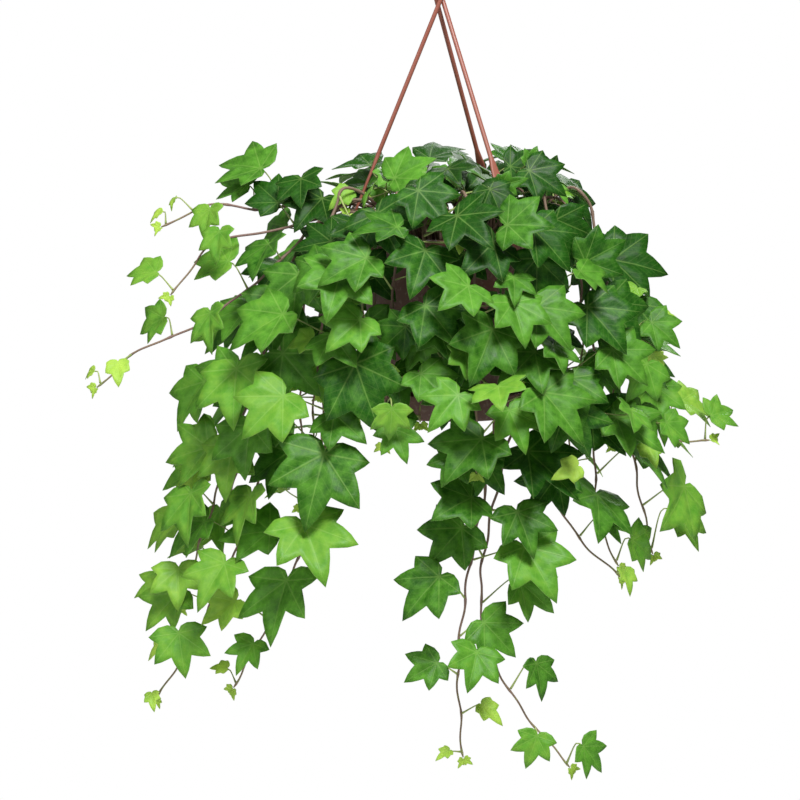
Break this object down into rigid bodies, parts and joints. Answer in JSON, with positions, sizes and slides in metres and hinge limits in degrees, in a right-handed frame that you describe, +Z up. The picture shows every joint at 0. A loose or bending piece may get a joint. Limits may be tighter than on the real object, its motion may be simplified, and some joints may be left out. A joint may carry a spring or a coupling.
{
  "type": "potted ivy in a hanging pot",
  "caption": "Trailing ivy plant in a round plastic hanging pot with a clip-on drip saucer, hung by a three-armed hanger with a hook on top.",
  "frame": {"origin": "the hook's bearing point, inside the top of the hook, where the object hangs", "axes": "+Z up, -Y towards the front that the picture shows, +X to the right seen from the front"},
  "size_m": [0.4747, 0.366, 0.606],
  "materials": {
    "pot_plastic": "terracotta-brown moulded plastic with a fine satin surface",
    "hanger_plastic": "brown moulded plastic, slightly glossy",
    "potting_soil": "damp dark peat potting soil",
    "ivy_leaf": "leathery green ivy leaves with paler veins on purple-brown stems"
  },
  "bodies": {
    "root": {"pot": "pot_plastic", "drip_saucer": "pot_plastic", "potting_soil": "potting_soil", "hanger_hook": "hanger_plastic", "hanger_arm_left": "hanger_plastic", "hanger_arm_front": "hanger_plastic", "hanger_arm_back": "hanger_plastic", "vine_left_high": "ivy_leaf", "vine_left_arc": "ivy_leaf", "vine_left_low": "ivy_leaf", "vine_left_outer": "ivy_leaf", "vine_left_rear": "ivy_leaf", "vine_left_middle": "ivy_leaf", "vine_left_inner": "ivy_leaf", "vine_front_long": "ivy_leaf", "vine_right_long": "ivy_leaf", "vine_right_inner": "ivy_leaf", "vine_right_middle": "ivy_leaf", "vine_right_outer": "ivy_leaf", "vine_right_back": "ivy_leaf", "vine_right_high": "ivy_leaf", "vine_right_low": "ivy_leaf", "vine_front_1": "ivy_leaf", "vine_front_2": "ivy_leaf", "vine_front_3": "ivy_leaf", "vine_front_4": "ivy_leaf", "vine_front_5": "ivy_leaf", "vine_front_6": "ivy_leaf", "vine_front_7": "ivy_leaf", "vine_front_8": "ivy_leaf", "vine_front_9": "ivy_leaf", "vine_front_10": "ivy_leaf", "vine_front_11": "ivy_leaf", "vine_front_12": "ivy_leaf", "vine_front_13": "ivy_leaf", "vine_front_14": "ivy_leaf", "vine_front_15": "ivy_leaf", "vine_behind_1": "ivy_leaf", "vine_behind_2": "ivy_leaf", "vine_behind_3": "ivy_leaf", "vine_behind_4": "ivy_leaf", "vine_behind_5": "ivy_leaf", "vine_behind_6": "ivy_leaf", "vine_behind_7": "ivy_leaf", "vine_crown_1": "ivy_leaf", "vine_crown_2": "ivy_leaf", "vine_crown_3": "ivy_leaf", "vine_crown_4": "ivy_leaf", "vine_crown_5": "ivy_leaf", "vine_crown_6": "ivy_leaf", "vine_crown_7": "ivy_leaf", "vine_crown_8": "ivy_leaf", "vine_crown_9": "ivy_leaf", "vine_crown_10": "ivy_leaf", "vine_crown_11": "ivy_leaf", "vine_crown_12": "ivy_leaf", "vine_crown_13": "ivy_leaf"}
  },
  "joints": []
}
